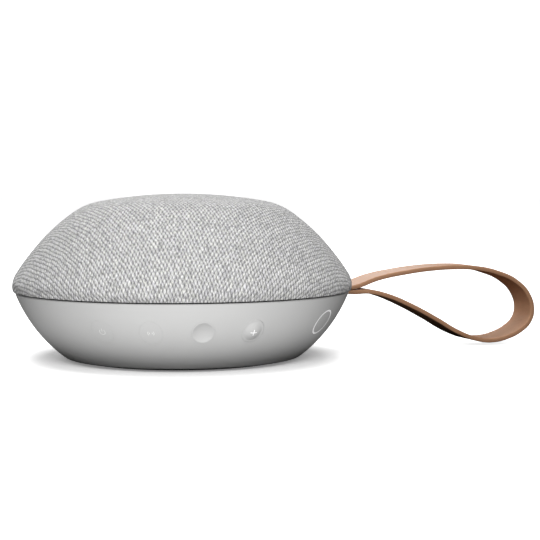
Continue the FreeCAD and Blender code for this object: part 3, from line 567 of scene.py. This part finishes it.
def make_cover(cloth):
    """One sheet of cloth stretched over the dome, turned in at the seam, with shallow tucks above it."""
    outline = dome_outline(COVER_RINGS)
    seam_radius, seam_level, length = outline[-1]
    tucks = all_tucks()
    vertices = [(0, 0, HEIGHT)]
    flat = [(0.0, 0.0)]
    azimuths = [360.0 * i / COVER_SEGMENTS for i in range(COVER_SEGMENTS)]
    for r, z, along in outline[1:]:
        free = part_way(z, SEAM, SEAM + CLOTH_HELD)
        laid = along * (1 - CLOTH_STRETCH * (along / length) ** 2)
        for azimuth in azimuths:
            way = level(azimuth)
            soft = noise.noise(Vector((way.x * r, way.y * r, z)) / CLOTH_WAVES[0]) * CLOTH_WAVES[1]
            at = way * (r + (soft + tuck_depth(azimuth, z, tucks)) * free)
            vertices.append((at.x, at.y, z))
            flat.append((way.x * laid, way.y * laid))
    for down, inward in COVER_HEM:
        laid = length * (1 - CLOTH_STRETCH) + inward * MM
        for azimuth in azimuths:
            way = level(azimuth)
            at = way * (seam_radius - inward * MM)
            vertices.append((at.x, at.y, seam_level - down * MM))
            flat.append((way.x * laid, way.y * laid))
    faces = disc_faces(COVER_RINGS + len(COVER_HEM), COVER_SEGMENTS)
    cover = mesh_piece("cover", vertices, faces, flat, "weave")
    cover.data.materials.append(cloth)
    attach(cover, "speaker_body")
    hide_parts("grille_fabric")


# ---------------------------------------------------------------- strap
def smooth_line(points):
    """Points STRAP_STEP apart along a smooth curve through those points, in the strap's plane."""
    curve = bpy.data.curves.new("line", "CURVE")
    curve.dimensions = "3D"
    curve.resolution_u = 24
    spline = curve.splines.new("BEZIER")
    spline.bezier_points.add(len(points) - 1)
    for handle, (u, z) in zip(spline.bezier_points, points):
        handle.co = (u * MM, 0, z * MM)
        handle.handle_left_type = handle.handle_right_type = "AUTO"
    holder = bpy.data.objects.new("line", curve)
    bpy.context.scene.collection.objects.link(holder)
    bpy.context.view_layer.update()
    mesh = bpy.data.meshes.new_from_object(holder.evaluated_get(bpy.context.evaluated_depsgraph_get()))
    dense = [v.co.copy() for v in mesh.vertices]
    bpy.data.objects.remove(holder)
    even = [dense[0]]
    left = STRAP_STEP
    for a, b in zip(dense, dense[1:]):
        run = (b - a).length
        while run >= left:
            a = a + (b - a) * (left / run)
            even.append(a)
            run = (b - a).length
            left = STRAP_STEP
        left -= run
    return even


def strap_section():
    """The strap's cross-section as (across, outward) points, with rounded edges."""
    half_width = STRAP_WIDTH / 2
    half_thick = STRAP_THICK / 2
    half = [(half_width * k, half_thick) for k in (-0.85, -0.5, 0.0, 0.5, 0.85)]
    for angle in (90, 54, 18, -18, -54, -90):
        a = math.radians(angle)
        x = half_width - STRAP_ROUNDING + STRAP_ROUNDING * math.cos(a)
        half.append((x, math.copysign(half_thick - STRAP_ROUNDING, angle) + STRAP_ROUNDING * math.sin(a)))
    return half + [(-x, -y) for x, y in half]


def strap_vertices(line, section):
    """The section carried along the line, and each vertex's place in the flat map of the hide."""
    out = level(STRAP_AZIMUTH)
    side = across(STRAP_AZIMUTH)
    vertices = []
    flat = []
    travelled = 0.0
    for k, point in enumerate(line):
        ahead = (line[min(k + 1, len(line) - 1)] - line[max(k - 1, 0)]).normalized()
        normal = Vector((-ahead.z, 0, ahead.x))
        if k:
            travelled += (point - line[k - 1]).length
        waver = noise.noise(Vector((travelled / STRAP_WAVES[0], 0, 0))) * STRAP_WAVES[1]
        full = part_way(point.x, *STRAP_PARED)
        thick = (STRAP_END_THICK + (STRAP_THICK - STRAP_END_THICK) * full) / STRAP_THICK
        for across_by, out_by in section:
            spot = point + normal * (out_by * thick)
            wide = across_by * (1 + waver / STRAP_WIDTH)
            vertices.append(out * spot.x + side * wide + Vector((0, 0, spot.z)))
            flat.append((travelled, across_by + (UNDERSIDE_SHIFT if out_by < 0 else 0.0)))
    return vertices, flat


def strap_side(first, second):
    """Which side of the hide lies between two neighbouring points of the section."""
    together = first[1] + second[1]
    # Two neighbours on a flat side are both half the strip's thickness out.
    if abs(together) <= 0.95 * STRAP_THICK:
        return CUT_EDGE
    return GRAIN_SIDE if together > 0 else FLESH_SIDE


def make_strap(grain_side):
    """The whole leather strip, from the clamp inside, round the loop and back."""
    line = smooth_line(STRAP_LINE)
    section = strap_section()
    count = len(section)
    faces = []
    sides = []
    for k in range(len(line) - 1):
        low = k * count
        for i in range(count):
            j = (i + 1) % count
            faces.append((low + i, low + j, low + count + j, low + count + i))
            sides.append(strap_side(section[i], section[j]))
    last = (len(line) - 1) * count
    faces += [tuple(range(count))[::-1], tuple(range(last, last + count))]
    sides += [CUT_EDGE, CUT_EDGE]
    vertices, flat = strap_vertices(line, section)
    strap = mesh_piece("leather_strap", vertices, faces, flat, "hide")
    for polygon, side in zip(strap.data.polygons, sides):
        polygon.material_index = side
    flesh_side = leather("strap_flesh_side", (0.50, 0.275, 0.16), 0.5 * MM, 0.06 * MM, 0.7, 0.12, 2.0)
    cut_edge = leather("strap_cut_edge", (0.38, 0.20, 0.11), 0.4 * MM, 0.08 * MM, 0.6, 0.18, 6.0)
    for hide in (grain_side, flesh_side, cut_edge):
        strap.data.materials.append(hide)
    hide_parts("strap_loop", "strap_tail")
    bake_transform(strap)


# ---------------------------------------------------------------- keys and marks
def on_shell(azimuth, x, y, lift):
    """The point of the shell's surface that far across and up from a key's middle, raised by lift."""
    steep = math.asin((SHELL_CENTRE[1] - CONTROL_HEIGHT) / SHELL_RADIUS) - y / SHELL_RADIUS
    reach = SHELL_RADIUS + lift
    r = SHELL_CENTRE[0] + reach * math.cos(steep)
    z = SHELL_CENTRE[1] - reach * math.sin(steep)
    return level(azimuth + math.degrees(x / r)) * r + Vector((0, 0, z))


def printed_mark(name, azimuth, strokes, width, height_at=lambda x, y: 0.0):
    """Thin printed lines on a key. Strokes are open lines of (across, up) points, in millimetres."""
    vertices = []
    faces = []
    for stroke in strokes:
        first = len(vertices)
        for k, (x, y) in enumerate(stroke):
            before = stroke[max(k - 1, 0)]
            after = stroke[min(k + 1, len(stroke) - 1)]
            way = Vector((after[0] - before[0], after[1] - before[1])).normalized()
            for side in (-0.5, 0.5):
                px = (x - way.y * width * side) * MM
                py = (y + way.x * width * side) * MM
                vertices.append(on_shell(azimuth, px, py, height_at(px, py) + MARK_LIFT))
        for k in range(len(stroke) - 1):
            a = first + 2 * k
            faces.append((a, a + 2, a + 3, a + 1))
    piece = mesh_piece(name, vertices, faces)
    return piece


def arc_of(radius, first, last):
    """Points of an arc about the key's middle. Angles are in degrees from across towards up."""
    turns = [math.radians(first + (last - first) * i / ARC_STEPS) for i in range(ARC_STEPS + 1)]
    return [(radius * math.cos(turn), radius * math.sin(turn)) for turn in turns]


def line_of(a, b):
    shares = [i / LINE_STEPS for i in range(LINE_STEPS + 1)]
    return [(a[0] + (b[0] - a[0]) * share, a[1] + (b[1] - a[1]) * share) for share in shares]


def crown_height(x, y):
    """The raised key's crown above the shell."""
    share = (x**2 + (y / KEY_STRETCH)**2) / CROWN_RADIUS**2
    return CROWN_RELIEF * (1 - share)**1.25 if share < 1 else 0.0


def key_oval(radius):
    """Points (across, up) round the key's middle: that far across, and further up the slope."""
    turns = [math.tau * i / KEY_SEGMENTS for i in range(KEY_SEGMENTS)]
    return [(radius * math.cos(turn), radius * KEY_STRETCH * math.sin(turn)) for turn in turns]


def make_raised_key(plastic):
    """The raised key's cap: a round crown that runs out into a flush rim, and a skirt down into the shell."""
    azimuth = KEY_AZIMUTHS["volume_up"]
    vertices = [on_shell(azimuth, 0, 0, crown_height(0, 0))]
    for k in range(1, KEY_RINGS + 1):
        for x, y in key_oval(KEY_RADIUS * k / KEY_RINGS):
            vertices.append(on_shell(azimuth, x, y, crown_height(x, y)))
    last = len(vertices)
    vertices += [on_shell(azimuth, x, y, -KEY_SKIRT) for x, y in key_oval(KEY_RADIUS)]
    faces = disc_faces(KEY_RINGS + 1, KEY_SEGMENTS)
    faces.append(tuple(range(last, last + KEY_SEGMENTS))[::-1])
    piece = mesh_piece("raised_key", vertices, faces)
    piece.data.materials.append(plastic)
    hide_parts("volume_up_button")
    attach(piece, "volume_up_key")


def make_marks(white, painted_glow_print):
    """Plain generic signs on the keys: an on sign, two waves, and a plus on the raised key, which glows like
    the ring as painted light.
    """
    on_sign = [arc_of(1.5, 130, 410), line_of((0, 0.3), (0, 2.0))]
    waves = [arc_of(radius, middle - 45, middle + 45) for middle in (0, 180) for radius in (0.7, 1.5)]
    plus = [line_of((-1.7, 0), (1.7, 0)), line_of((0, -1.7), (0, 1.7))]
    marks = {
        "power": printed_mark("power_mark", KEY_AZIMUTHS["power"], on_sign, 0.3),
        "pairing": printed_mark("pairing_mark", KEY_AZIMUTHS["pairing"], waves, 0.3),
        "volume_up": printed_mark("volume_up_mark", KEY_AZIMUTHS["volume_up"], plus, 0.45, crown_height),
    }
    for key, piece in marks.items():
        # The plus shares the ring's painted glow.
        piece.data.materials.append(painted_glow_print if key == "volume_up" else white)
        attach(piece, f"{key}_key")


# ---------------------------------------------------------------- camera, floor and light
def make_camera():
    """A long lens a little above the speaker, looking slightly to its right and down."""
    data = bpy.data.cameras.new("camera")
    data.lens = CAMERA_LENS
    data.sensor_width = SENSOR_WIDTH
    camera = bpy.data.objects.new("camera", data)
    bpy.context.scene.collection.objects.link(camera)
    bpy.context.scene.camera = camera
    turn = Matrix.Rotation(math.radians(CAMERA_AZIMUTH - CAMERA_YAW), 4, "Z")
    tilt = Matrix.Rotation(math.radians(90.0 - CAMERA_PITCH), 4, "X")
    roll = Matrix.Rotation(math.radians(-CAMERA_ROLL), 4, "Z")
    place = level(CAMERA_AZIMUTH) * CAMERA_DISTANCE + Vector((0, 0, CAMERA_HEIGHT))
    camera.matrix_world = Matrix.Translation(place) @ turn @ tilt @ roll


def add_light(name, place, size, power):
    data = bpy.data.lights.new(name, "AREA")
    data.shape = "RECTANGLE"
    data.size, data.size_y = size
    data.energy = power
    lamp = bpy.data.objects.new(name, data)
    bpy.context.scene.collection.objects.link(lamp)
    lamp.location = place
    lamp.rotation_euler = (Vector(LAMP_TARGET) - Vector(place)).to_track_quat("-Z", "Y").to_euler()


def table_top():
    """White table, a little darker near the speaker's foot as painted shade, that throws even light back up.
    """
    material, tree, _ = start("table_top")
    white = (1.0, 1.0, 1.0, 1)
    # Painted shade: the table's glow is weaker near the speaker's foot, where the camera sees it.
    strength = blend_of(tree, fade(tree, AXIS, *FOOT_PAINTED_SHADE_EDGE), *TABLE_GLOW)
    paint = put(tree, "ShaderNodeBsdfDiffuse", {"Color": white}).outputs[0]
    glow = put(tree, "ShaderNodeEmission", {"Color": white, "Strength": strength}).outputs[0]
    seen_white = put(tree, "ShaderNodeAddShader", {0: paint, 1: glow}).outputs[0]

    out_of_shade = fade(tree, AXIS, *SHADE_EDGE)
    beside_strap = fade(tree, level(STRAP_AZIMUTH) * STRAP_SHADE[0], *STRAP_SHADE[1:])
    in_front = blend_of(tree, fade(tree, level(0.0) * BOUNCE_FRONT[0], *BOUNCE_FRONT[1:]), TABLE_BOUNCE, 0.0)
    bounce = calc(tree, "MULTIPLY", calc(tree, "MULTIPLY", out_of_shade, beside_strap), in_front)
    lifting = put(tree, "ShaderNodeEmission", {"Color": white, "Strength": bounce}).outputs[0]

    seen = put(tree, "ShaderNodeLightPath").outputs["Is Camera Ray"]
    mixed = put(tree, "ShaderNodeMixShader", {0: seen, 1: lifting, 2: seen_white}).outputs[0]
    tree.links.new(mixed, tree.nodes["Material Output"].inputs["Surface"])
    return material


def make_stage():
    """A white table that runs to a white surround, and large soft lights round the speaker."""
    corners = [(TABLE_HALF * x, TABLE_HALF * y, TABLE_LEVEL) for x, y in ((-1, -1), (1, -1), (1, 1), (-1, 1))]
    floor = mesh_piece("floor", corners, [(0, 1, 2, 3)])
    floor.data.materials.append(table_top())

    world = bpy.data.worlds.new("surround")
    bpy.context.scene.world = world
    world.use_nodes = True
    tree = world.node_tree
    seen = put(tree, "ShaderNodeLightPath").outputs["Is Camera Ray"]
    strength = blend_of(tree, seen, *WORLD_LIGHT)
    tree.links.new(strength, tree.nodes["Background"].inputs["Strength"])
    tree.nodes["Background"].inputs["Color"].default_value = (1, 1, 1, 1)

    for lamp in LAMPS:
        add_light(*lamp)
    bpy.context.scene.view_settings.view_transform = "Standard"


def dress_nodes(frame, materials):
    """Every node of the CAD model in the material of its slot, but for the touch ring, which gets a painted
    glow.
    """
    for entry in frame["record"]["subparts"]:
        node = frame["nodes"][entry["node"]]
        node.data.materials.clear()
        look = "ring_with_painted_glow" if entry["node"] == "touch_ring" else entry["material_slot"]
        node.data.materials.append(materials[look])


def main():
    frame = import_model()
    make_camera()
    materials = all_materials()
    dress_nodes(frame, materials)
    make_cover(materials["woven_cover"])
    make_strap(materials["strap_leather"])
    make_raised_key(materials["key"])
    make_marks(materials["white_print"], materials["ring_with_painted_glow"])
    make_stage()


main()
